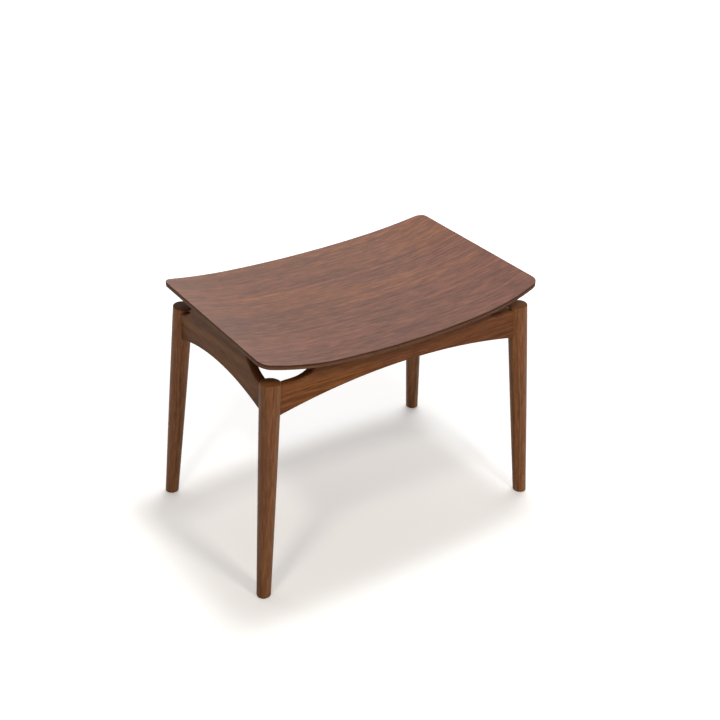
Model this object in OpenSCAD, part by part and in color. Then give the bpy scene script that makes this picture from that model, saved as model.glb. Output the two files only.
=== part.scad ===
// Low bench with a dished plywood seat on a doweled teak frame.
// +X runs along the seat and its grain, +Y to the back, +Z up. The origin is on the floor,
// below the middle of the seat.

/* [Seat] */
// Length of the seat, along X
seat_length = 540; // [500:1:580]
// Widest part of the seat, across its middle
seat_width = 363; // [350:1:376]
// Height of the top face at the middle of the seat
seat_height = 408.7; // [404:0.1:414]
// Thickness of the whole laminated seat
seat_thickness = 8.4; // [7.6:0.1:10]
// Thickness of the face veneer and of the back veneer
veneer_thickness = 0.6; // [0.5:0.1:1]
// Radius of the dish over the middle of the seat
dish_radius = 1975; // [1800:5:2200]
// Radius of the dish towards the two ends
dish_end_radius = 690; // [650:5:760]
// Distance from the middle at which the dish tightens
dish_break = 136; // [120:1:150]
// Radius of the long sides in plan, over the middle
side_radius = 4800; // [4200:50:6000]
// Radius of the long sides in plan, towards the ends
side_end_radius = 875; // [800:5:1000]
// Distance from the middle at which the long sides tighten
side_break = 137; // [120:1:150]
// Radius of the four corners in plan
corner_radius = 19; // [12:1:26]

/* [Legs] */
// Distance from the centre plane to a foot, along X
foot_x = 276.2; // [270:0.1:284]
// Distance from the centre plane to a foot, along Y
foot_y = 169.6; // [166:0.1:174]
// Inward lean of a leg along X, as rise over run
lean_x = 0.08244; // [0.07:0.001:0.095]
// Inward lean of a leg along Y, as rise over run
lean_y = 0.06133; // [0.05:0.001:0.07]
// Length of a leg along its own axis
leg_length = 390; // [384:1:392]
// Radius of a leg at the floor
foot_radius = 12; // [11:0.1:13]
// Radius of a leg at its top
top_radius = 17.2; // [16.5:0.1:18]
// How far the side of a leg swells beyond a straight taper
leg_swell = 0.3; // [0:0.1:0.6]
// Rounding of the edge at both ends of a leg
leg_edge = 2.5; // [1.5:0.5:3.5]

/* [Aprons] */
// Thickness of the aprons
apron_thickness = 15; // [13:1:18]
// Distance from the centre plane to the middle of a long apron
long_apron_y = 148; // [146:0.5:150]
// Distance from the centre plane to the middle of a short apron
short_apron_x = 247.5; // [246:0.5:249]
// Height of the lower edge of a long apron at its middle
long_arch_top = 354.3; // [348:0.1:360]
// Radius of the arch under a long apron
long_arch_radius = 1085; // [1050:5:1200]
// Height of the lower edge of a short apron at its middle
short_arch_top = 351.8; // [346:0.1:358]
// Radius of the arch under a short apron
short_arch_radius = 426; // [410:2:460]
// Height of the floor of the scoop beside each leg
scoop_floor = 382; // [380:0.5:384]
// Radius of the scoop that leads up to the seat
scoop_radius = 48; // [44:1:52]
// Distance from the centre plane to the start of a long apron's scoop
long_scoop_x = 202.5; // [198:0.5:206]
// Distance from the centre plane to the start of a short apron's scoop
short_scoop_y = 135.5; // [132:0.5:138]

/* [Dowels] */
// Diameter of the dowels
dowel_diameter = 8; // [6:1:9]
// Length of the dowels
dowel_length = 36; // [30:1:38]
// How far a dowel reaches into the leg
dowel_in_leg = 12; // [9:1:13]
// Height of the lower dowel of each joint
lower_dowel_z = 344; // [342:1:348]
// Height of the upper dowel of each joint
upper_dowel_z = 368; // [364:1:370]

/* [Seat screws] */
// Diameter of the shank
screw_diameter = 4; // [3.5:0.5:4.5]
// Diameter of the countersunk head
screw_head_diameter = 8; // [7:0.5:8.5]
// Height of wood between the screw head and the seat
screw_bite = 18; // [15:1:20]
// How far the screw reaches into the seat
screw_in_seat = 6; // [4:0.5:6.5]
// Diameter of the deep hole that lets the head into the apron
counterbore_diameter = 9; // [8.5:0.5:10]
// Distance from the centre plane to the screws of a long apron
long_screw_x = 95; // [80:1:120]
// Distance from the centre plane to the screws of a short apron
short_screw_y = 45; // [35:1:60]

/* [Hidden] */

teak = "#7a4a2e";
teak_dark = "#5e3a26";
veneer = "#8c665a";
birch = "#b08a62";
steel = "#b9b9b4";

half_length = seat_length / 2;
core_plies = 5;
core_thickness = (seat_thickness - 2 * veneer_thickness) / core_plies;
fit_gap = 0.05;
round_fn = 96;
arc_fn = 720;
// Height below which the aprons hold nothing, and a height above all of the bench
below_aprons = 300;
above_all = 460;

// Where the tight end arcs of the dish are centred, so that they leave the middle arc smoothly
dish_angle = asin(dish_break / dish_radius);
dish_centre_z = seat_height + dish_radius;
dish_end_x = dish_break - dish_end_radius * sin(dish_angle);
dish_end_z = dish_centre_z - (dish_radius - dish_end_radius) * cos(dish_angle);
dish_end_angle = asin((half_length + 12 - dish_end_x) / dish_end_radius);

// The same for the long sides of the plan, whose middle arc is centred beyond the far side
side_angle = asin(side_break / side_radius);
side_centre_y = seat_width / 2 - side_radius;
side_end_x = side_break - side_end_radius * sin(side_angle);
side_end_y = side_centre_y + (side_radius - side_end_radius) * cos(side_angle);

// The corner arc touches the side's end arc from inside, and the end of the seat
corner_x = half_length - corner_radius;
corner_reach = side_end_radius - corner_radius;
corner_turn = acos((corner_x - side_end_x) / corner_reach);
corner_y = side_end_y + corner_reach * sin(corner_turn);

// Tilt of a leg that leans in over the front left foot
leg_tilt_y = atan(lean_x);
leg_tilt_x = -atan(lean_y * cos(leg_tilt_y));

// Points of an arc in equal steps; a first above 0 leaves out the start, which is there already
function arc(x, y, r, from, to, steps, first = 0) =
    [for (i = [first:steps]) let (a = from + (to - from) * i / steps) [x + r * cos(a), y + r * sin(a)]];

function reversed(points) = [for (i = [len(points) - 1:-1:0]) points[i]];

function flipped(points, sx, sy) =
    let (moved = [for (p = points) [sx * p[0], sy * p[1]]])
    sx * sy > 0 ? moved : reversed(moved);

// One quarter of the outline, from the end of the seat round to the middle of a long side
quarter = concat(
    arc(corner_x, corner_y, corner_radius, 0, corner_turn, 8),
    arc(side_end_x, side_end_y, side_end_radius, corner_turn, 90 - side_angle, 8, 1),
    arc(0, side_centre_y, side_radius, 90 - side_angle * 7 / 8, 90 - side_angle / 8, 6));

// The dish in side view, from -X to +X, at a depth below the top face
function dish_curve(depth) =
    let (right = arc(dish_end_x, dish_end_z, dish_end_radius + depth, 270 + dish_angle,
        270 + dish_end_angle, 12, 1))
    concat(flipped(right, -1, 1),
        arc(0, dish_centre_z, dish_radius + depth, 270 - dish_angle, 270 + dish_angle, 14),
        right);

// Underside of the seat at a distance from the middle
function underside(x) =
    abs(x) < dish_break
        ? dish_centre_z - sqrt(pow(dish_radius + seat_thickness, 2) - x * x)
        : dish_end_z - sqrt(pow(dish_end_radius + seat_thickness, 2) - pow(abs(x) - dish_end_x, 2));

function leg_r(s) =
    let (u = s / leg_length)
    foot_radius + (top_radius - foot_radius) * u + 4 * leg_swell * u * (1 - u);

// Distance from the centre plane to the side of a leg where an apron meets it, at a height
function leg_face_x(z) = foot_x - lean_x * z - leg_r(z);
function leg_face_y(z) = foot_y - lean_y * z - leg_r(z);

module plan_outline() {
    polygon(concat(flipped(quarter, 1, 1), flipped(quarter, -1, 1), flipped(quarter, -1, -1),
        flipped(quarter, 1, -1)));
}

// Extrudes a side view, drawn in X and Z, along Y
module across(width) {
    rotate([90, 0, 0])
        linear_extrude(height = width, center = true)
            children();
}

// Everything above the underside of the seat
module above_underside() {
    across(2 * seat_width)
        polygon(concat(dish_curve(seat_thickness),
            [[half_length + 60, above_all], [-half_length - 60, above_all]]));
}

module long_screw_places() {
    for (x = [-long_screw_x, long_screw_x], y = [-long_apron_y, long_apron_y])
        translate([x, y, underside(x) - screw_bite])
            children();
}

module short_screw_places() {
    for (x = [-short_apron_x, short_apron_x], y = [-short_screw_y, short_screw_y])
        translate([x, y, underside(x) - screw_bite])
            children();
}

// Shank of a wood screw that points up, from where the cone of its head ends
module screw_shank() {
    r = screw_diameter / 2;
    length = screw_bite + screw_in_seat;
    rotate_extrude($fn = round_fn)
        polygon([[0, -r], [r, -r], [r, length - 2 * r], [0, length]]);
}

// A slotted countersunk wood screw
module seat_screw() {
    r = screw_diameter / 2;
    head_r = screw_head_diameter / 2;
    head = head_r - r;
    slot_width = 1;
    slot_depth = 1;
    difference() {
        union() {
            screw_shank();
            translate([0, 0, -head])
                cylinder(r1 = head_r, r2 = r, h = head, $fn = round_fn);
        }
        translate([-head_r - 1, -slot_width / 2, -head - 1])
            cube([2 * head_r + 2, slot_width, slot_depth + 1]);
    }
}

// The way for a screw through an apron: deep counterbore, countersink and pilot hole
module screw_way() {
    r = screw_diameter / 2;
    head_r = screw_head_diameter / 2;
    head = head_r - r;
    deep = above_all - below_aprons;
    cylinder(r = r, h = screw_bite + 1, $fn = round_fn);
    translate([0, 0, -head])
        cylinder(r1 = head_r, r2 = r, h = head, $fn = round_fn);
    translate([0, 0, -head - deep])
        cylinder(d = counterbore_diameter, h = deep, $fn = round_fn);
}

// One layer of the seat, its top face a given depth below the top of the seat
module seat_ply(depth, thickness) {
    difference() {
        intersection() {
            across(2 * seat_width)
                polygon(concat(dish_curve(depth + thickness), reversed(dish_curve(depth))));
            translate([0, 0, below_aprons])
                linear_extrude(height = above_all - below_aprons)
                    plan_outline();
        }
        long_screw_places()
            screw_shank();
        short_screw_places()
            screw_shank();
    }
}

// A leg's turned shape along its own axis, long enough below to be sawn level with the floor
module leg_blank() {
    below = 6;
    stations = 12;
    shoulder = leg_length - leg_edge;
    crown = 0.6;
    rotate_extrude($fn = round_fn)
        polygon(concat(
            [[0, -below], [foot_radius, -below]],
            [for (i = [0:stations]) let (s = shoulder * i / stations) [leg_r(s), s]],
            arc(leg_r(shoulder) - leg_edge, shoulder, leg_edge, 0, 90, 4, 1),
            [[0, leg_length + crown]]));
}

// Rounds the edge of the foot, level with the floor
module foot_ease() {
    easing = foot_radius - leg_edge;
    rotate_extrude($fn = round_fn)
        polygon(concat([[0, 0]], arc(easing, leg_edge, leg_edge, -90, 0, 5),
            [[easing + 2 * leg_edge, 2 * leg_edge], [0, 2 * leg_edge]]));
}

module front_left_leg() {
    room = 120;
    translate([-foot_x, -foot_y, 0])
        intersection() {
            rotate([leg_tilt_x, leg_tilt_y, 0])
                leg_blank();
            union() {
                foot_ease();
                translate([-room / 2, -room / 2, 1.5 * leg_edge])
                    cube([room, room, above_all]);
            }
        }
}

module placed_leg(right, back) {
    mirror([right, 0, 0])
        mirror([0, back, 0])
            front_left_leg();
}

// Puts its child at the four dowels of the front apron, at the end that is inside the apron
module front_dowel_places() {
    for (side = [0, 1], z = [lower_dowel_z, upper_dowel_z])
        mirror([side, 0, 0])
            translate([leg_face_x(z) + dowel_in_leg - dowel_length, -long_apron_y, z])
                rotate([0, 90, 0])
                    children();
}

module left_dowel_places() {
    for (side = [0, 1], z = [lower_dowel_z, upper_dowel_z])
        mirror([0, side, 0])
            translate([-short_apron_x, leg_face_y(z) + dowel_in_leg - dowel_length, z])
                rotate([-90, 0, 0])
                    children();
}

module dowel() {
    chamfer = 1;
    r = dowel_diameter / 2;
    rotate_extrude($fn = round_fn)
        polygon([[0, 0], [r - chamfer, 0], [r, chamfer], [r, dowel_length - chamfer],
            [r - chamfer, dowel_length], [0, dowel_length]]);
}

module dowel_hole() {
    spare = 1;
    translate([0, 0, -spare])
        cylinder(r = dowel_diameter / 2 + fit_gap, h = dowel_length + 2 * spare, $fn = round_fn);
}

// Removes the scoop at both ends of an apron that runs along X
module scoops(start) {
    for (side = [0, 1])
        mirror([side, 0, 0]) {
            translate([start, 0, scoop_floor + scoop_radius])
                rotate([90, 0, 0])
                    cylinder(r = scoop_radius, h = 4 * apron_thickness, center = true,
                        $fn = arc_fn);
            translate([start, -2 * apron_thickness, scoop_floor])
                cube([2 * scoop_radius, 4 * apron_thickness, 2 * scoop_radius]);
        }
}

// An apron along X, centred on the origin in plan, with its arch and its two scoops
module apron_blank(half, arch_top, arch_radius, scoop_start) {
    difference() {
        translate([-half, -apron_thickness / 2, below_aprons])
            cube([2 * half, apron_thickness, above_all - below_aprons - 10]);
        translate([0, 0, arch_top - arch_radius])
            rotate([90, 0, 0])
                cylinder(r = arch_radius, h = 4 * apron_thickness, center = true,
                    $fn = 2 * arc_fn);
        scoops(scoop_start);
    }
}

module front_apron() {
    difference() {
        translate([0, -long_apron_y, 0])
            apron_blank(foot_x - 2 * top_radius, long_arch_top, long_arch_radius, long_scoop_x);
        above_underside();
        placed_leg(0, 0);
        placed_leg(1, 0);
        front_dowel_places()
            dowel_hole();
        long_screw_places()
            screw_way();
    }
}

module left_apron() {
    difference() {
        translate([-short_apron_x, 0, 0])
            rotate([0, 0, 90])
                apron_blank(foot_y - 1.5 * top_radius, short_arch_top, short_arch_radius,
                    short_scoop_y);
        above_underside();
        placed_leg(0, 0);
        placed_leg(0, 1);
        left_dowel_places()
            dowel_hole();
        short_screw_places()
            screw_way();
    }
}

module leg(right, back) {
    color(teak)
        difference() {
            placed_leg(right, back);
            mirror([0, back, 0])
                front_dowel_places()
                    dowel_hole();
            mirror([right, 0, 0])
                left_dowel_places()
                    dowel_hole();
        }
}

module core_ply(n) {
    color(birch)
        seat_ply(veneer_thickness + (n - 1) * core_thickness, core_thickness);
}

module face_veneer() {
    color(veneer)
        seat_ply(0, veneer_thickness);
}

module back_veneer() {
    color(teak_dark)
        seat_ply(seat_thickness - veneer_thickness, veneer_thickness);
}

module core_ply_1() { core_ply(1); }
module core_ply_2() { core_ply(2); }
module core_ply_3() { core_ply(3); }
module core_ply_4() { core_ply(4); }
module core_ply_5() { core_ply(5); }

module leg_front_left() { leg(0, 0); }
module leg_front_right() { leg(1, 0); }
module leg_back_left() { leg(0, 1); }
module leg_back_right() { leg(1, 1); }

module apron_front() { color(teak) front_apron(); }
module apron_back() { color(teak) mirror([0, 1, 0]) front_apron(); }
module apron_left() { color(teak_dark) left_apron(); }
module apron_right() { color(teak_dark) mirror([1, 0, 0]) left_apron(); }

module dowels_front_apron() { color(birch) front_dowel_places() dowel(); }
module dowels_back_apron() { color(birch) mirror([0, 1, 0]) front_dowel_places() dowel(); }
module dowels_left_apron() { color(birch) left_dowel_places() dowel(); }
module dowels_right_apron() { color(birch) mirror([1, 0, 0]) left_dowel_places() dowel(); }

module screws_long_aprons() { color(steel) long_screw_places() seat_screw(); }
module screws_short_aprons() { color(steel) short_screw_places() seat_screw(); }

face_veneer();
core_ply_1();
core_ply_2();
core_ply_3();
core_ply_4();
core_ply_5();
back_veneer();
leg_front_left();
leg_front_right();
leg_back_left();
leg_back_right();
apron_front();
apron_back();
apron_left();
apron_right();
dowels_front_apron();
dowels_back_apron();
dowels_left_apron();
dowels_right_apron();
screws_long_aprons();
screws_short_aprons();
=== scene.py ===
"""A low bench: a dished plywood seat that floats over four splayed teak legs and their aprons.

Metres, with +X along the seat and its grain, +Y to the back, +Z up and the origin on the floor.
"""

import math

import bmesh
import bpy
from mathutils import Euler, Matrix, Vector


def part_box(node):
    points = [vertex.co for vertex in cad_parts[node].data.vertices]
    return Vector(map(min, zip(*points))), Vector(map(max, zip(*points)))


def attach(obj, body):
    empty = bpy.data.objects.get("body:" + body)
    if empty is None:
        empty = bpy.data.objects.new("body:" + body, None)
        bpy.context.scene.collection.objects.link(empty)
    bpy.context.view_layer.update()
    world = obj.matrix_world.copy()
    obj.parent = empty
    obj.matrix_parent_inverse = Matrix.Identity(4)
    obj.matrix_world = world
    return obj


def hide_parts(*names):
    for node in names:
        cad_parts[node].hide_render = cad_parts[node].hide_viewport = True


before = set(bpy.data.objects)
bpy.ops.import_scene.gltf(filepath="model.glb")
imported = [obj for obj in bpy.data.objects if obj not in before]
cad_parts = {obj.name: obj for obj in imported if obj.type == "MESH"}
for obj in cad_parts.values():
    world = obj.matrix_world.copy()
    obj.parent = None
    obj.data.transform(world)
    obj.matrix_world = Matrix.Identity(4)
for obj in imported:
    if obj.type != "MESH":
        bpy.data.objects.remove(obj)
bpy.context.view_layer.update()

# ---------------------------------------------------------------- sizes of the seat
seat_thickness = 0.0084
veneer_thickness = 0.0006
core_plies = 5
core_thickness = (seat_thickness - 2 * veneer_thickness) / core_plies
half_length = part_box("face_veneer")[1].x
half_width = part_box("face_veneer")[1].y
seat_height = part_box("face_veneer")[0].z + veneer_thickness
dish_radius = 1.975
dish_end_radius = 0.690
dish_break = 0.136
side_radius = 4.800
side_end_radius = 0.875
side_break = 0.137
corner_radius = 0.019
top_easing = 0.0013
bottom_easing = 0.0011
seat_strip = 0.0075

# ---------------------------------------------------------------- sizes of the legs
foot_x = 0.2762
foot_y = 0.1696
lean_x = 0.08244
lean_y = 0.06133
leg_length = 0.390
foot_radius = 0.012
top_radius = 0.0172
leg_swell = 0.0003
leg_easing = 0.0025
foot_easing = 0.002
leg_crown = 0.0006
leg_sides = 72

# ---------------------------------------------------------------- sizes of the aprons
apron_thickness = 0.015
long_apron_y = 0.148
short_apron_x = 0.2475
long_arch_top = 0.3543
long_arch_radius = 1.085
short_arch_top = 0.3518
short_arch_radius = 0.426
scoop_floor = 0.382
scoop_radius = 0.048
long_scoop_x = 0.2025
short_scoop_y = 0.1355
lower_arris = 0.0020
scoop_arris = 0.0028

# ---------------------------------------------------------------- sizes of the dowels and screws
dowel_radius = 0.004
dowel_length = 0.036
dowel_in_leg = 0.012
dowel_heights = (0.344, 0.368)
dowel_flutes = 16
screw_bite = 0.018
screw_in_seat = 0.006
screw_radius = 0.002
head_radius = 0.004
screw_neck = 0.008
thread_pitch = 0.0018
thread_root = 0.70
slot_width = 0.001
slot_depth = 0.001
counterbore_radius = 0.0045
long_screw_x = 0.095
short_screw_y = 0.045

# ---------------------------------------------------------------- tolerances and smoothness
# slack is how far a corner may lie from an arris and still be picked with it
cut_tolerance = 0.000002
merge_distance = 0.00001
sliver_width = 0.00002
slack = 0.0001
rounding_steps = 4
smooth_angle = math.radians(38)


# ---------------------------------------------------------------- drawing and shaping
def arc(x, y, radius, first, last, steps):
    """Points of an arc on a flat drawing, between two angles in degrees."""
    points = []
    for i in range(steps + 1):
        angle = math.radians(first + (last - first) * i / steps)
        points.append((x + radius * math.cos(angle), y + radius * math.sin(angle)))
    return points


def draw(name, points):
    """Starts a piece as a single point and draws its outline from there, left open."""
    points = [Vector(point) for point in points]
    bpy.ops.object.select_all(action="DESELECT")
    bpy.ops.mesh.primitive_plane_add(size=0.01, enter_editmode=True)
    bpy.ops.mesh.select_mode(type="VERT")
    bpy.ops.mesh.select_all(action="SELECT")
    bpy.ops.mesh.merge(type="CENTER")
    bpy.ops.transform.translate(value=points[0])
    for here, there in zip(points, points[1:]):
        bpy.ops.mesh.extrude_region_move(TRANSFORM_OT_translate={"value": there - here})
    piece = bpy.context.object
    piece.name = name
    piece.data.name = name
    return piece


def draw_board(name, points, depth):
    """A board: its outline, filled and drawn out by depth."""
    piece = draw(name, points)
    bpy.ops.mesh.select_all(action="SELECT")
    bpy.ops.mesh.edge_face_add()
    bpy.ops.mesh.extrude_region_move(TRANSFORM_OT_translate={"value": depth})
    face_outwards()
    return piece


def turn_on_lathe(name, profile, sides):
    """A round piece from a profile of radius and height, which starts and ends on the axis."""
    piece = draw(name, [(radius, 0, height) for radius, height in profile])
    bpy.ops.mesh.select_all(action="SELECT")
    bpy.ops.mesh.spin(steps=sides, angle=math.tau, center=(0, 0, 0), axis=(0, 0, 1))
    bpy.ops.mesh.select_all(action="SELECT")
    bpy.ops.mesh.remove_doubles(threshold=merge_distance)
    face_outwards()
    return piece


def face_outwards():
    """Turns every face of the open piece to the outside."""
    bpy.ops.mesh.select_all(action="SELECT")
    bpy.ops.mesh.normals_make_consistent(inside=False)


def pick_edges(test):
    """Selects the edges whose two ends both pass a test of their place."""
    bpy.ops.mesh.select_mode(type="EDGE")
    bpy.ops.mesh.select_all(action="DESELECT")
    mesh = bmesh.from_edit_mesh(bpy.context.edit_object.data)
    for edge in mesh.edges:
        edge.select_set(all(test(corner.co) for corner in edge.verts))
    bmesh.update_edit_mesh(bpy.context.edit_object.data)


def ease(test, radius):
    """Rounds the picked edges and gives the rounding the piece's second finish."""
    pick_edges(test)
    bpy.ops.mesh.bevel(offset=radius, segments=rounding_steps, affect="EDGES", material=1)


def cut(place, normal, keep_inner):
    """Cuts the open piece at a plane, drops one side and closes the cut."""
    bpy.ops.mesh.select_all(action="SELECT")
    bpy.ops.mesh.bisect(plane_co=place, plane_no=normal, use_fill=True, clear_outer=keep_inner,
                        clear_inner=not keep_inner, threshold=cut_tolerance)
    face_outwards()


def close(piece):
    """Leaves edit mode with this piece as the one that operators act on."""
    if bpy.context.mode != "OBJECT":
        bpy.ops.object.mode_set(mode="OBJECT")
    bpy.ops.object.select_all(action="DESELECT")
    piece.select_set(True)
    bpy.context.view_layer.objects.active = piece


def reopen(piece):
    """Enters edit mode on this piece."""
    close(piece)
    bpy.ops.object.mode_set(mode="EDIT")


def copy_of(piece, name, flip=(1, 1, 1)):
    """A copy with its own mesh, mirrored where flip holds a -1."""
    close(piece)
    bpy.ops.object.duplicate()
    twin = bpy.context.object
    twin.name = name
    twin.data.name = name
    twin.scale = flip
    bpy.ops.object.transform_apply(location=False, rotation=False, scale=True)
    reopen(twin)
    face_outwards()
    close(twin)
    return twin


def modify(piece, kind, **settings):
    """Adds a modifier with these settings and applies it."""
    close(piece)
    modifier = piece.modifiers.new(kind.lower(), kind)
    for setting, value in settings.items():
        setattr(modifier, setting, value)
    bpy.ops.object.modifier_apply(modifier=modifier.name)


def cut_away(piece, *tools):
    """Cuts the shapes of other pieces out of this one, and clears the slivers that are left."""
    for tool in tools:
        modify(piece, "BOOLEAN", operation="DIFFERENCE", solver="EXACT", object=tool)
    reopen(piece)
    bpy.ops.mesh.select_all(action="SELECT")
    bpy.ops.mesh.remove_doubles(threshold=sliver_width)
    bpy.ops.mesh.dissolve_degenerate(threshold=sliver_width)
    face_outwards()
    close(piece)


def hand_over(piece, nodes, finishes):
    """Smooths a finished piece, gives it its finishes and puts it in the place of its CAD nodes."""
    close(piece)
    piece.data.materials.clear()
    for finish in finishes:
        piece.data.materials.append(finish)
    bpy.ops.object.shade_smooth_by_angle(angle=smooth_angle)
    modify(piece, "WEIGHTED_NORMAL", keep_sharp=True, weight=60)
    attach(piece, "root")
    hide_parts(*nodes)


# ---------------------------------------------------------------- shading nodes
def add(tree, kind, inputs=None, **settings):
    """Adds a node; its inputs take numbers, colours or other nodes' sockets."""
    made = tree.nodes.new(kind)
    for setting, value in settings.items():
        setattr(made, setting, value)
    for name, value in (inputs or {}).items():
        if isinstance(value, bpy.types.NodeSocket):
            tree.links.new(value, made.inputs[name])
        else:
            made.inputs[name].default_value = value
    return made


def math_node(tree, operation, first, second=0.0, third=0.0, clamp=False):
    """One step of arithmetic; MULTIPLY_ADD is first times second, plus third."""
    return add(tree, "ShaderNodeMath", {0: first, 1: second, 2: third}, operation=operation,
               use_clamp=clamp).outputs[0]


def vector_node(tree, operation, first, second=(0, 0, 0)):
    """One step on vectors, whose result is a number for a length and for a dot product."""
    made = add(tree, "ShaderNodeVectorMath", {0: first, 1: second}, operation=operation)
    return made.outputs["Value" if operation in ("LENGTH", "DOT_PRODUCT") else "Vector"]


def spread(tree, value, low, high):
    """Stretches the part of a value between low and high to the whole way from 0 to 1."""
    return add(tree, "ShaderNodeMapRange", {"Value": value, "From Min": low, "From Max": high},
               interpolation_type="SMOOTHSTEP").outputs["Result"]


def between(tree, value, least, most):
    """Turns the usual range of a noise, 0.3 to 0.7, into another range."""
    return add(tree, "ShaderNodeMapRange", {"Value": value, "From Min": 0.3, "From Max": 0.7,
               "To Min": least, "To Max": most}).outputs["Result"]


def blend_colour(tree, share, first, second):
    """A share of the second colour over the first; the node's colour sockets go by number."""
    return add(tree, "ShaderNodeMix", {0: share, 6: first, 7: second},
               data_type="RGBA").outputs[2]


def stretched_noise(tree, where, grain, detail=2.0, output="Fac"):
    """Noise in fibres: grain says how many per metre across them, and how many along them."""
    across, along = grain
    scaled = vector_node(tree, "MULTIPLY", where, (across, across, along))
    return add(tree, "ShaderNodeTexNoise", {"Vector": scaled, "Scale": 1.0, "Detail": detail,
               "Roughness": 0.55}).outputs[output]


def opaque(shade):
    return (*shade, 1.0)


def new_material(name):
    """An empty material and its node tree."""
    material = bpy.data.materials.new(name)
    material.use_nodes = True
    material.node_tree.nodes.clear()
    return material, material.node_tree


# ---------------------------------------------------------------- woods and plating
# How many there are of each per metre, across the grain and along it
wander_grain = (7.0, 1.6)
streak_grain = (45.0, 1.0)
fleck_grain = (320.0, 34.0)
fibre_grain = (900.0, 36.0)
pore_grain = (2300.0, 75.0)
cloud_grain = (9.0, 3.0)
tint_grain = (12.0, 2.5)

wander_reach = 0.030
pore_darkness = 0.45
pore_cover = 0.45
rosy = (0.93, 0.91, 1.04, 1.0)
golden_brown = (1.04, 1.05, 0.90, 1.0)

# Each wood in its dark, middle and pale shade
teak_shades = ((0.082, 0.0295, 0.0100), (0.131, 0.0510, 0.0175), (0.184, 0.0790, 0.0280))
face_shades = ((0.061, 0.0195, 0.0105), (0.112, 0.0370, 0.0195), (0.180, 0.0660, 0.0330))
ply_shades = ((0.080, 0.033, 0.017), (0.125, 0.056, 0.030), (0.165, 0.082, 0.046))
back_shades = ((0.085, 0.034, 0.018), (0.140, 0.060, 0.032), (0.200, 0.095, 0.052))
beech_shades = ((0.30, 0.17, 0.09), (0.42, 0.26, 0.15), (0.52, 0.35, 0.21))
zinc_dull = (0.34, 0.32, 0.28)
zinc_bright = (0.55, 0.54, 0.50)

# How light each core ply is, from the top down; they show as bands on the edge. The lower plies are
# lighter partly in their own tone and partly as painted light bounced up from the floor.
ply_tones_and_painted_bounce = (0.30, 0.40, 0.80, 0.66, 0.80)


def grain_along(axis):
    """The turn that lays a wood's grain along an axis."""
    return Vector((0, 0, 1)).rotation_difference(Vector(axis)).to_euler()


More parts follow.
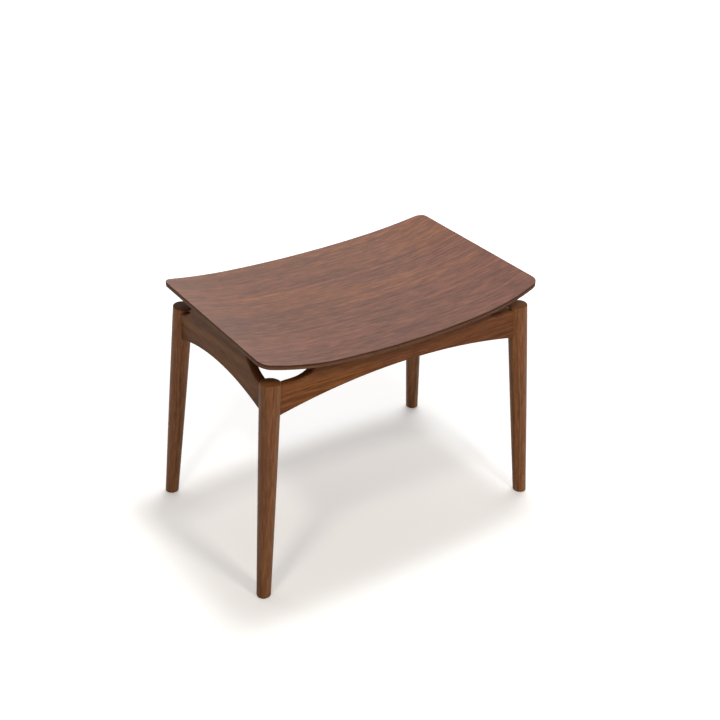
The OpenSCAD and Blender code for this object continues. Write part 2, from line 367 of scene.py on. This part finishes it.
def wood(name, shades, place=(0, 0, 0), turn=(0, 0, 0), heart=(0.05, 0.03), ring=0.004,
         sheet=False, gloss=0.42, end_grain=0.45, lift=1.0, mixing=(0.27, 0.20, 0.23, 0.30),
         shine=0.10, depth=0.00006, painted_shade_slope=(0, 0, 0), golden=(0, 0, 0)):
    """Wood whose grain runs along Z in a space that is moved to place and turned.

    heart is where the growth rings are centred across the grain, and ring their usual width.
    A sheet is a veneer: its figure doesn't change through its thickness.
    gloss is the roughness of the oiled face, shine its reflection and depth that of its pores.
    end_grain is how light the ends of the fibres are, and lift how light the whole piece is.
    mixing says how much of the figure is rings, broad streaks, flecks and fine fibres.
    The wood gets lighter along the second last direction and darker the other way, which is painted
    shade, and turns from rosy to golden along the last.
    """
    dark, middle, pale = shades
    material, tree = new_material(name)

    # Where a point is in the log, with the fibres wandering a little
    source = add(tree, "ShaderNodeTexCoord")
    where = add(tree, "ShaderNodeMapping", {"Vector": source.outputs["Object"],
                "Location": place, "Rotation": turn}, vector_type="TEXTURE").outputs["Vector"]
    if sheet:
        where = vector_node(tree, "MULTIPLY", where, (0.0, 1.0, 1.0))
    wander = stretched_noise(tree, where, wander_grain, output="Color")
    wander = vector_node(tree, "SUBTRACT", wander, (0.5, 0.5, 0.5))
    wander = vector_node(tree, "MULTIPLY", wander, (wander_reach, wander_reach, 0.0))
    fibres = vector_node(tree, "ADD", where, wander)

    # Growth rings of uneven width, streaks, flecks, fine fibres and pores
    from_heart = vector_node(tree, "SUBTRACT", fibres, (heart[0], heart[1], 0.0))
    from_heart = vector_node(tree, "MULTIPLY", from_heart, (1.0, 1.0, 0.0))
    radius = vector_node(tree, "LENGTH", from_heart)
    rings = add(tree, "ShaderNodeTexNoise", {"W": radius, "Scale": 1 / ring, "Detail": 3.0,
                "Roughness": 0.6}, noise_dimensions="1D").outputs["Fac"]
    streak = stretched_noise(tree, fibres, streak_grain, 3.0)
    fleck = stretched_noise(tree, fibres, fleck_grain)
    fibre = stretched_noise(tree, fibres, fibre_grain, 3.0)
    pore = stretched_noise(tree, fibres, pore_grain, 1.0)
    pores = spread(tree, pore, 0.60, 0.72)

    # From their mixture to the wood's three shades, with the pores laid over them
    tone = 0.0
    for part, share in zip((rings, streak, fleck, fibre), mixing):
        tone = math_node(tree, "MULTIPLY_ADD", part, share, tone)
    tone = spread(tree, tone, 0.34, 0.66)
    body = blend_colour(tree, spread(tree, tone, 0.0, 0.55), opaque(dark), opaque(middle))
    body = blend_colour(tree, spread(tree, tone, 0.45, 1.0), body, opaque(pale))
    pore_colour = opaque(c * pore_darkness for c in dark)
    body = blend_colour(tree, math_node(tree, "MULTIPLY", pores, pore_cover), body, pore_colour)

    # Lighter and darker clouds, painted shade that darkens the wood one way across the piece, and a
    # slow change from rosy to golden
    cloud = stretched_noise(tree, where, cloud_grain)
    cloudy = between(tree, cloud, 0.92 * lift, 1.08 * lift)
    # Painted shade: the wood darkens steadily one way across the piece and lightens the other
    painted_shade_drift = vector_node(tree, "DOT_PRODUCT", source.outputs["Object"], painted_shade_slope)
    cloudy = math_node(tree, "MULTIPLY_ADD", painted_shade_drift, lift, cloudy)
    body = add(tree, "ShaderNodeVectorMath", {0: body, "Scale": cloudy},
               operation="SCALE").outputs["Vector"]
    hue = vector_node(tree, "DOT_PRODUCT", source.outputs["Object"], golden)
    hue = math_node(tree, "MULTIPLY_ADD", stretched_noise(tree, where, tint_grain), 0.6, hue)
    tint = blend_colour(tree, spread(tree, hue, 0.18, 0.42), rosy, golden_brown)
    body = vector_node(tree, "MULTIPLY", body, tint)

    # Where a face cuts across the fibres they drink more oil and go darker
    axis = Euler(turn).to_matrix() @ Vector((0, 0, 1))
    across = vector_node(tree, "DOT_PRODUCT", source.outputs["Normal"], tuple(axis))
    across = spread(tree, math_node(tree, "ABSOLUTE", across), 0.35, 0.95)
    soaked = blend_colour(tree, 0.75, body, opaque(c * end_grain for c in middle))
    body = blend_colour(tree, across, body, soaked)

    # Fibres, pores and end grain are rougher, and the pores lie deeper
    rough = between(tree, fibre, gloss - 0.05, gloss + 0.07)
    rough = math_node(tree, "MULTIPLY_ADD", pores, 0.15, rough, clamp=True)
    rough = math_node(tree, "MULTIPLY_ADD", across, 0.12, rough, clamp=True)
    height = math_node(tree, "MULTIPLY_ADD", pores, -1.0, math_node(tree, "MULTIPLY", fibre, 0.8))
    bump = add(tree, "ShaderNodeBump", {"Height": height, "Distance": depth, "Strength": 0.8})
    shader = add(tree, "ShaderNodeBsdfPrincipled", {"Base Color": body, "Roughness": rough,
                 "Specular IOR Level": shine, "Normal": bump.outputs["Normal"]})
    add(tree, "ShaderNodeOutputMaterial", {"Surface": shader.outputs["BSDF"]})
    return material


def zinc(name):
    """Dull zinc plating with blotches and fine scratches."""
    material, tree = new_material(name)
    where = add(tree, "ShaderNodeTexCoord").outputs["Object"]
    blotch = stretched_noise(tree, where, (700.0, 700.0), 3.0)
    scratch = stretched_noise(tree, where, (5000.0, 900.0))
    plating = blend_colour(tree, blotch, opaque(zinc_dull), opaque(zinc_bright))
    rough = add(tree, "ShaderNodeMapRange", {"Value": blotch, "To Min": 0.28, "To Max": 0.5})
    bump = add(tree, "ShaderNodeBump", {"Height": scratch, "Distance": 0.00003, "Strength": 0.6})
    shader = add(tree, "ShaderNodeBsdfPrincipled", {"Base Color": plating, "Metallic": 1.0,
                 "Roughness": rough.outputs["Result"], "Normal": bump.outputs["Normal"]})
    add(tree, "ShaderNodeOutputMaterial", {"Surface": shader.outputs["BSDF"]})
    return material


def teak(name, place, turn, heart, redder=1.0, lift=1.0, **changes):
    """Oiled teak for one piece, as cut from its own place in the log, and its worn arrises."""
    shades = [(red, green * redder, blue * redder) for red, green, blue in teak_shades]
    board = wood(name, shades, place, turn, heart, ring=0.0045, gloss=0.40, lift=lift, **changes)
    worn = wood(name + "_worn", shades, place, turn, heart, ring=0.0045, gloss=0.34,
                lift=1.22 * lift, **changes)
    return board, worn


# ---------------------------------------------------------------- the seat
def dish_at(x, depth=0.0):
    """Height of the dish at x, for the surface that lies a depth below the top face."""
    slope_at_break = math.asin(dish_break / dish_radius)
    end_x = dish_break - dish_end_radius * math.sin(slope_at_break)
    top_z = seat_height + dish_radius
    end_z = top_z - (dish_radius - dish_end_radius) * math.cos(slope_at_break)
    break_x = dish_break + depth * math.sin(slope_at_break)
    if abs(x) < break_x:
        return top_z - math.sqrt((dish_radius + depth) ** 2 - x ** 2)
    return end_z - math.sqrt((dish_end_radius + depth) ** 2 - (abs(x) - end_x) ** 2)


def underside(x):
    """Height of the seat's underside at x."""
    return dish_at(x, seat_thickness)


def seat_outline():
    """The seat in plan: bowed long sides, straight ends and round corners."""
    bow = math.degrees(math.asin(side_break / side_radius))
    middle_y = half_width - side_radius
    end_x = side_break - side_end_radius * math.sin(math.radians(bow))
    end_y = middle_y + (side_radius - side_end_radius) * math.cos(math.radians(bow))
    corner_x = half_length - corner_radius
    reach = side_end_radius - corner_radius
    corner_turn = math.degrees(math.acos((corner_x - end_x) / reach))
    corner_y = end_y + reach * math.sin(math.radians(corner_turn))
    quarter = arc(corner_x, corner_y, corner_radius, 0, corner_turn, 12)
    quarter += arc(end_x, end_y, side_end_radius, corner_turn, 90 - bow, 10)[1:]
    quarter += arc(0, middle_y, side_radius, 90 - bow, 90, 6)[1:]
    back = quarter + [(-x, y) for x, y in quarter[-2::-1]]
    return back + [(-x, -y) for x, y in back]


def press_into_dish(piece):
    """Presses a flat layer into the dish and leaves its ends plumb."""
    for corner in piece.data.vertices:
        corner.co.z = dish_at(corner.co.x, -corner.co.z)


def seat_layer(blank, name, top, bottom):
    """One layer of the flat blank, between two depths, cut in strips and pressed."""
    layer = copy_of(blank, name)
    reopen(layer)
    if top > 0:
        cut((0, 0, -top), (0, 0, 1), keep_inner=True)
    if bottom < seat_thickness:
        cut((0, 0, -bottom), (0, 0, 1), keep_inner=False)
    strips = round(half_length / seat_strip)
    for i in range(1 - strips, strips):
        bpy.ops.mesh.select_all(action="SELECT")
        bpy.ops.mesh.bisect(plane_co=(i * half_length / strips, 0, 0), plane_no=(1, 0, 0),
                            threshold=cut_tolerance)
    face_outwards()
    close(layer)
    press_into_dish(layer)
    return layer


def make_seat():
    """Seven glued layers: a face veneer, five core plies whose grain crosses, a back veneer."""
    blank = draw_board("seat_blank", [(x, y, 0) for x, y in seat_outline()],
                       (0, 0, -seat_thickness))
    ease(lambda place: place.z > -slack, top_easing)
    ease(lambda place: place.z < slack - seat_thickness, bottom_easing)
    close(blank)

    along = grain_along((1, 0, 0))
    crossing = grain_along((0, 1, 0))
    # The face veneer is painted darker towards the front left corner and lighter to the back right:
    # painted shade on the seat's near corner
    face_teak = wood("teak_face_veneer", face_shades, (0.1, 0.02, 0), along, heart=(0.0, 0.30),
                     ring=0.0075, sheet=True, gloss=0.36, mixing=(0.19, 0.18, 0.41, 0.22),
                     end_grain=0.35, shine=0.5, depth=0.00004, painted_shade_slope=(0.22, 0.50, 0),
                     golden=(-0.25, 0.8, 0))
    layer = seat_layer(blank, "seat_face_veneer", 0.0, veneer_thickness)
    hand_over(layer, ["face_veneer"], [face_teak])

    # The lower plies' lighter tones are partly painted floor bounce on the seat's edge
    for number, tone in enumerate(ply_tones_and_painted_bounce, 1):
        shades = [[c * tone for c in shade] for shade in ply_shades]
        ply = wood(f"core_ply_{number}_wood", shades, (0.13 * number, 0.07 * number, 0),
                   crossing if number % 2 else along, heart=(0.4, 0.1 * number), ring=0.003,
                   sheet=True, gloss=0.5, end_grain=0.62, shine=0.05)
        top = veneer_thickness + (number - 1) * core_thickness
        layer = seat_layer(blank, f"seat_core_{number}", top, top + core_thickness)
        hand_over(layer, [f"core_ply_{number}"], [ply])

    back_teak = wood("teak_back_veneer", back_shades, (0.5, 0.11, 0), along, heart=(0.0, -0.22),
                     ring=0.006, sheet=True, gloss=0.48)
    layer = seat_layer(blank, "seat_back_veneer", seat_thickness - veneer_thickness, seat_thickness)
    hand_over(layer, ["back_veneer"], [back_teak])
    bpy.data.objects.remove(blank)


# ---------------------------------------------------------------- the legs
def leg_radius(height):
    """The taper of a leg, which swells a little between its ends."""
    share = height / leg_length
    taper = foot_radius + (top_radius - foot_radius) * share
    return taper + 4 * leg_swell * share * (1 - share)


def leg_turn(side_x, side_y):
    """The turn that leans a leg inwards over its foot."""
    tilt_y = math.atan(lean_x)
    tilt_x = math.atan(lean_y * math.cos(tilt_y))
    return (side_y * tilt_x, -side_x * tilt_y, 0)


def take_two_finishes(piece):
    """Readies a piece for a second finish on its rounded edges."""
    for _ in range(2):
        piece.data.materials.append(plain)


def make_leg(name, side_x, side_y):
    """A turned leg with a crowned top, leaned over its foot and sawn level with the floor."""
    spare = 0.006
    stations = 14
    rounds = 6
    shoulder = leg_length - leg_easing
    rim = leg_radius(shoulder) - leg_easing
    profile = [(0, -spare), (foot_radius, -spare)]
    for i in range(1, stations + 1):
        height = shoulder * i / stations
        profile.append((leg_radius(height), height))
    profile += arc(rim, shoulder, leg_easing, 0, 90, rounds)[1:]
    for i in range(1, rounds + 1):
        share = 1 - i / rounds
        profile.append((rim * share, leg_length + leg_crown * (1 - share ** 2)))
    leg = turn_on_lathe(name, profile, leg_sides)
    close(leg)
    leg.rotation_euler = leg_turn(side_x, side_y)
    leg.location = (side_x * foot_x, side_y * foot_y, 0)
    bpy.ops.object.transform_apply(location=True, rotation=True, scale=True)
    take_two_finishes(leg)
    reopen(leg)
    cut((0, 0, 0), (0, 0, 1), keep_inner=False)
    ease(lambda place: place.z < slack, foot_easing)
    face_outwards()
    close(leg)
    return leg


# ---------------------------------------------------------------- the aprons
def arch(top, radius, half):
    """The arched lower edge, from the right end to the left."""
    reach = math.degrees(math.asin(half / radius))
    return arc(0, top - radius, radius, 90 - reach, 90 + reach, 40)


def scoop_meets_seat(start):
    """Angle on the scoop's circle at which it reaches the underside of the seat."""
    centre_z = scoop_floor + scoop_radius
    low, high = 180.0, 270.0
    for _ in range(40):
        angle = (low + high) / 2
        x = start + scoop_radius * math.cos(math.radians(angle))
        z = centre_z + scoop_radius * math.sin(math.radians(angle))
        if z > underside(x):
            low = angle
        else:
            high = angle
    return high


def screw_cutter(x, y):
    """The way for a seat screw: deep counterbore, countersink and pilot hole."""
    deep, high = 0.08, 0.03
    head = head_radius - screw_radius
    profile = [(0, -deep), (counterbore_radius, -deep), (counterbore_radius, -head),
               (head_radius, -head), (screw_radius, 0), (screw_radius, high), (0, high)]
    cutter = turn_on_lathe("cutter", profile, 40)
    close(cutter)
    cutter.location = (x, y, underside(x) - screw_bite)
    bpy.ops.object.transform_apply(location=True, rotation=False, scale=False)
    return cutter


def ease_apron(along, seat_reach):
    """Rounds the arrises of the arch and of the two scoops, and leaves the joint with the seat."""
    ease(lambda place: place.z < scoop_floor - 0.004, lower_arris)
    ease(lambda place: place.z > scoop_floor - 0.0005 and along(place) > seat_reach - slack,
         scoop_arris)


def fit_apron(apron, legs, screw_places):
    """Cuts the legs and the ways for the seat screws out of an apron."""
    cutters = [screw_cutter(x, y) for x, y in screw_places]
    cut_away(apron, *legs, *cutters)
    for cutter in cutters:
        bpy.data.objects.remove(cutter)


def make_long_apron(legs):
    """The front apron: it follows the dish above, is arched below and scooped at both ends.

    The board is drawn until it ends inside the legs, which are then cut out of it.
    """
    half = foot_x - 2.2 * top_radius
    centre_z = scoop_floor + scoop_radius
    meets = scoop_meets_seat(long_scoop_x)
    right_scoop = arc(long_scoop_x, centre_z, scoop_radius, meets, 270, 10)
    reach = right_scoop[0][0]
    steps = 36
    top = [(-reach + 2 * reach * i / steps, underside(-reach + 2 * reach * i / steps))
           for i in range(1, steps)]
    outline = [(-x, z) for x, z in right_scoop[::-1]] + top + right_scoop
    outline += [(half, scoop_floor)] + arch(long_arch_top, long_arch_radius, half)
    outline += [(-half, scoop_floor)]
    face_y = -long_apron_y - apron_thickness / 2
    apron = draw_board("apron_front_board", [(x, face_y, z) for x, z in outline],
                       (0, apron_thickness, 0))
    close(apron)
    take_two_finishes(apron)
    reopen(apron)
    ease_apron(lambda place: abs(place.x), reach)
    close(apron)
    fit_apron(apron, legs, [(x, -long_apron_y) for x in (-long_screw_x, long_screw_x)])
    return apron


def make_short_apron(legs):
    """The left apron: it is drawn too high and planed to the slope of the seat above it."""
    half = foot_y - 1.7 * top_radius
    centre_z = scoop_floor + scoop_radius
    above = seat_height + 0.04
    right_scoop = arc(short_scoop_y, centre_z, scoop_radius, 180, 270, 14)
    outline = [(-y, z) for y, z in right_scoop[::-1]]
    outline += [(-right_scoop[0][0], above), (right_scoop[0][0], above)] + right_scoop
    outline += [(half, scoop_floor)] + arch(short_arch_top, short_arch_radius, half)
    outline += [(-half, scoop_floor)]
    face_x = -short_apron_x - apron_thickness / 2
    apron = draw_board("apron_left_board", [(face_x, y, z) for y, z in outline],
                       (apron_thickness, 0, 0))
    close(apron)
    take_two_finishes(apron)
    reopen(apron)
    inner = -short_apron_x + apron_thickness / 2
    fall = (underside(inner) - underside(face_x)) / apron_thickness
    cut((-short_apron_x, 0, underside(-short_apron_x)), (-fall, 0, 1), keep_inner=True)
    ease_apron(lambda place: abs(place.y), right_scoop[0][0] + 0.002)
    close(apron)
    fit_apron(apron, legs, [(-short_apron_x, y) for y in (-short_screw_y, short_screw_y)])
    return apron


# ---------------------------------------------------------------- the dowels
def make_dowel():
    """A fluted beech dowel with chamfered ends, standing on the origin."""
    chamfer = 0.001
    flute = 0.0004
    points = []
    for i in range(2 * dowel_flutes):
        radius = dowel_radius - flute * (i % 2) - chamfer
        angle = math.pi * i / dowel_flutes
        points.append((radius * math.cos(angle), radius * math.sin(angle), 0))
    wide = dowel_radius / (dowel_radius - chamfer)
    dowel = draw_board("dowel", points, (0, 0, chamfer))
    pick_top(chamfer)
    bpy.ops.transform.resize(value=(wide, wide, 1), center_override=(0, 0, chamfer))
    bpy.ops.mesh.extrude_region_move(
        TRANSFORM_OT_translate={"value": (0, 0, dowel_length - 2 * chamfer)})
    bpy.ops.mesh.extrude_region_move(TRANSFORM_OT_translate={"value": (0, 0, chamfer)})
    bpy.ops.transform.resize(value=(1 / wide, 1 / wide, 1), center_override=(0, 0, dowel_length))
    face_outwards()
    close(dowel)
    return dowel


def pick_top(height):
    """Selects the face that lies at this height."""
    bpy.ops.mesh.select_mode(type="FACE")
    bpy.ops.mesh.select_all(action="DESELECT")
    mesh = bmesh.from_edit_mesh(bpy.context.edit_object.data)
    for face in mesh.faces:
        face.select_set(all(abs(corner.co.z - height) < merge_distance for corner in face.verts))
    bmesh.update_edit_mesh(bpy.context.edit_object.data)


def place_copies(piece, name, places):
    """Copies of a piece at these places and turns, joined as one."""
    made = []
    for place, turn in places:
        twin = copy_of(piece, name)
        twin.rotation_euler = turn
        twin.location = place
        bpy.ops.object.transform_apply(location=True, rotation=True, scale=True)
        made.append(twin)
    bpy.ops.object.select_all(action="DESELECT")
    for twin in made:
        twin.select_set(True)
    bpy.context.view_layer.objects.active = made[0]
    bpy.ops.object.join()
    made[0].name = name
    return made[0]


def beech(name, axis):
    return wood(name, beech_shades, turn=grain_along(axis), heart=(0.3, 0.2), ring=0.002,
                gloss=0.55, end_grain=0.7)


def make_dowels():
    """Two dowels at both ends of every apron, each with its tip in the leg."""
    dowel = make_dowel()
    beech_along = beech("beech", (1, 0, 0))
    beech_across = beech("beech_across", (0, 1, 0))
    start = dowel_length - dowel_in_leg
    for side, word in ((-1, "front"), (1, "back")):
        places = []
        for z in dowel_heights:
            face = foot_x - lean_x * z - leg_radius(z)
            for flip in (-1, 1):
                place = (flip * (face - start), side * long_apron_y, z)
                places.append((place, (0, flip * math.pi / 2, 0)))
        piece = place_copies(dowel, f"{word}_apron_dowels", places)
        hand_over(piece, [f"dowels_{word}_apron"], [beech_along])
    for side, word in ((-1, "left"), (1, "right")):
        places = []
        for z in dowel_heights:
            face = foot_y - lean_y * z - leg_radius(z)
            for flip in (-1, 1):
                place = (side * short_apron_x, flip * (face - start), z)
                places.append((place, (-flip * math.pi / 2, 0, 0)))
        piece = place_copies(dowel, f"{word}_apron_dowels", places)
        hand_over(piece, [f"dowels_{word}_apron"], [beech_across])
    bpy.data.objects.remove(dowel)


# ---------------------------------------------------------------- the screws
def make_screw():
    """A slotted countersunk wood screw that points up from the top of its head's cone."""
    head = head_radius - screw_radius
    length = screw_bite + screw_in_seat
    dull = 0.00015
    profile = [(0, -head), (head_radius - 2 * dull, -head), (head_radius - dull, dull - head),
               (screw_radius, 0), (screw_radius, screw_neck)]
    z = screw_neck
    while z < length - thread_pitch:
        crest = screw_radius * min(1, (length - z) / (2 * screw_radius))
        profile += [(crest * thread_root, z + 0.2 * thread_pitch),
                    (crest * thread_root, z + 0.6 * thread_pitch), (crest, z + 0.9 * thread_pitch)]
        z += thread_pitch
    profile.append((0, length))
    screw = turn_on_lathe("screw", profile, 32)
    close(screw)
    reach, half = 1.2 * head_radius, slot_width / 2
    corners = ((-reach, -half), (reach, -half), (reach, half), (-reach, half))
    slot = draw_board("slot", [(x, y, -head - slot_depth) for x, y in corners],
                      (0, 0, 2 * slot_depth))
    close(slot)
    cut_away(screw, slot)
    bpy.data.objects.remove(slot)
    return screw


def make_screws():
    """Two screws in every apron, their slots turned every way."""
    screw = make_screw()
    long_places = [(x, y) for x in (-long_screw_x, long_screw_x)
                   for y in (-long_apron_y, long_apron_y)]
    short_places = [(x, y) for x in (-short_apron_x, short_apron_x)
                    for y in (-short_screw_y, short_screw_y)]
    for word, ways in (("long", long_places), ("short", short_places)):
        places = [((x, y, underside(x) - screw_bite), (0, 0, 0.4 + 0.9 * number))
                  for number, (x, y) in enumerate(ways)]
        piece = place_copies(screw, f"{word}_apron_screws", places)
        plating = zinc(f"zinc_plating_{word}")
        hand_over(piece, [f"screws_{word}_aprons"], [plating])
    bpy.data.objects.remove(screw)


# ---------------------------------------------------------------- the frame
def make_frame():
    """Four legs and four aprons, each with its own cut of teak."""
    legs = {}
    for side_y, word_y in ((-1, "front"), (1, "back")):
        for side_x, word_x in ((-1, "left"), (1, "right")):
            legs[side_x, side_y] = make_leg(f"{word_y}_{word_x}_leg", side_x, side_y)
    front = make_long_apron([legs[-1, -1], legs[1, -1]])
    back = copy_of(front, "apron_back_board", (1, -1, 1))
    left = make_short_apron([legs[-1, -1], legs[-1, 1]])
    right = copy_of(left, "apron_right_board", (-1, 1, 1))

    along = grain_along((1, 0, 0))
    crossing = grain_along((0, 1, 0))
    front_teak = teak("teak_front_apron", (0.3, 0.0, 0.36), along, (0.06, -0.11), redder=0.91,
                      lift=0.78, shine=0.04)
    hand_over(front, ["apron_front"], front_teak)
    back_teak = teak("teak_back_apron", (1.3, 0.0, 0.36), along, (0.05, 0.10), lift=0.86)
    hand_over(back, ["apron_back"], back_teak)
    # The left apron's teak is set darkest of the boards: partly its own tone, partly painted shade
    # for the little light its left-facing side gets
    left_teak = teak("teak_left_apron", (0.0, 2.0, 0.36), crossing, (0.18, 0.06), lift=0.70,
                     shine=0.03)
    hand_over(left, ["apron_left"], left_teak)
    right_teak = teak("teak_right_apron", (0.0, 3.0, 0.36), crossing, (-0.16, 0.07), lift=0.86)
    hand_over(right, ["apron_right"], right_teak)

    # Where each leg lay in the log, and how light its teak is
    cuts = {(-1, -1): ((0.045, 0.060), 0.87), (1, -1): ((-0.070, 0.035), 1.00),
            (-1, 1): ((0.030, -0.080), 1.10), (1, 1): ((-0.050, -0.055), 1.10)}
    for (side_x, side_y), leg in legs.items():
        word = f"{'front' if side_y < 0 else 'back'}_{'left' if side_x < 0 else 'right'}"
        place = (side_x * foot_x, side_y * foot_y, 0)
        heart, lift = cuts[side_x, side_y]
        finishes = teak(f"teak_{word}_leg", place, leg_turn(side_x, side_y), heart,
                        end_grain=0.72, lift=lift)
        hand_over(leg, [f"leg_{word}"], finishes)


# ---------------------------------------------------------------- room, light and camera
floor_white = (0.93, 0.93, 0.93, 1.0)
backdrop_white = (1.0, 0.97, 0.93, 1.0)
cool_white = (0.97, 0.99, 1.0)
warm_white = (1.0, 0.93, 0.83)

# Each light's name, place, size, power in watts and colour
lights = (("overhead_light", (0.34, 0.27, 3.26), 0.5, 39.0, cool_white),
          ("front_light", (0.09, -1.13, 1.72), 0.22, 7.0, warm_white),
          ("left_light", (-0.96, -0.59, 1.75), 0.22, 6.0, warm_white),
          ("window", (0.00, -1.75, 2.20), 0.6, 46.0, warm_white))


def make_floor():
    """A white floor that glows more the further it runs from the bench."""
    near_glow, added_glow = 0.26, 0.5
    bpy.ops.object.select_all(action="DESELECT")
    bpy.ops.mesh.primitive_plane_add(size=40)
    floor = bpy.context.object
    floor.name = "floor"
    paint, tree = new_material("white_floor")
    distance = vector_node(tree, "LENGTH", add(tree, "ShaderNodeTexCoord").outputs["Object"])
    far = spread(tree, distance, 0.4, 1.5)
    glow = math_node(tree, "MULTIPLY_ADD", far, added_glow, near_glow)
    shader = add(tree, "ShaderNodeBsdfPrincipled", {"Base Color": floor_white, "Roughness": 0.9,
                 "Specular IOR Level": 0.1, "Emission Color": (1, 1, 1, 1),
                 "Emission Strength": glow})
    add(tree, "ShaderNodeOutputMaterial", {"Surface": shader.outputs["BSDF"]})
    floor.data.materials.append(paint)
    return floor


def make_backdrop():
    """A dim room with a bright backdrop behind the bench and a bright band low all round."""
    towards = Vector((0.47, 0.72, 0.51)).normalized()
    dim, added_light = 0.15, 0.80
    band_light, band_fade = 0.90, -0.75
    scene = bpy.context.scene
    if scene.world is None:
        scene.world = bpy.data.worlds.new("white_room")
    scene.world.use_nodes = True
    tree = scene.world.node_tree
    tree.nodes.clear()
    facing = add(tree, "ShaderNodeTexCoord").outputs["Generated"]
    backdrop = vector_node(tree, "DOT_PRODUCT", facing, tuple(towards))
    backdrop = math_node(tree, "MULTIPLY_ADD", spread(tree, backdrop, 0.3, 0.95), added_light, dim)
    band = vector_node(tree, "DOT_PRODUCT", facing, (0, 0, 1))
    band = math_node(tree, "MULTIPLY_ADD", spread(tree, band, 0.0, 0.35), band_fade, band_light)
    strength = math_node(tree, "MAXIMUM", backdrop, band)
    sky = add(tree, "ShaderNodeBackground", {"Color": backdrop_white, "Strength": strength})
    add(tree, "ShaderNodeOutputWorld", {"Surface": sky.outputs["Background"]})
    scene.view_settings.view_transform = "Standard"


def make_lights(floor):
    """Four soft lights on the bench; the window's light leaves the floor out."""
    aim = Vector((0, 0, 0.3))
    for name, place, size, power, tint in lights:
        lamp = bpy.data.lights.new(name, "AREA")
        lamp.size = size
        lamp.energy = power
        lamp.color = tint
        lit = bpy.data.objects.new(name, lamp)
        lit.location = place
        lit.rotation_euler = (aim - Vector(place)).to_track_quat("-Z", "Y").to_euler()
        bpy.context.scene.collection.objects.link(lit)
        if name == "window":
            spared = bpy.data.collections.new("out_of_the_window_light")
            spared.objects.link(floor)
            lit.light_linking.receiver_collection = spared
            spared.collection_objects[0].light_linking.link_state = "EXCLUDE"


def make_camera():
    """Looks down on the front left corner."""
    azimuth = math.radians(-33.186)
    elevation = math.radians(30.395)
    roll = math.radians(0.838)
    look_at = Vector((0, 0, 0.2))
    distance = 2.084
    aside = -0.0383
    raised = 0.0682
    back = Vector((math.sin(azimuth) * math.cos(elevation),
                   -math.cos(azimuth) * math.cos(elevation), math.sin(elevation)))
    level_right = Vector((math.cos(azimuth), math.sin(azimuth), 0))
    level_up = back.cross(level_right)
    right = level_right * math.cos(roll) + level_up * math.sin(roll)
    up = level_up * math.cos(roll) - level_right * math.sin(roll)
    lens = bpy.data.cameras.new("camera")
    lens.lens = 58.51
    lens.sensor_width = 36
    lens.shift_x = 0.0457
    camera = bpy.data.objects.new("camera", lens)
    place = look_at + back * distance + right * aside + up * raised
    turn = Matrix((right, up, back)).transposed().to_4x4()
    camera.matrix_world = Matrix.Translation(place) @ turn
    bpy.context.scene.collection.objects.link(camera)
    bpy.context.scene.camera = camera


# A stand-in for every finish until a piece is handed over
plain = bpy.data.materials.new("unfinished")
make_camera()
make_seat()
make_frame()
make_dowels()
make_screws()
bpy.data.materials.remove(plain)
make_backdrop()
make_lights(make_floor())
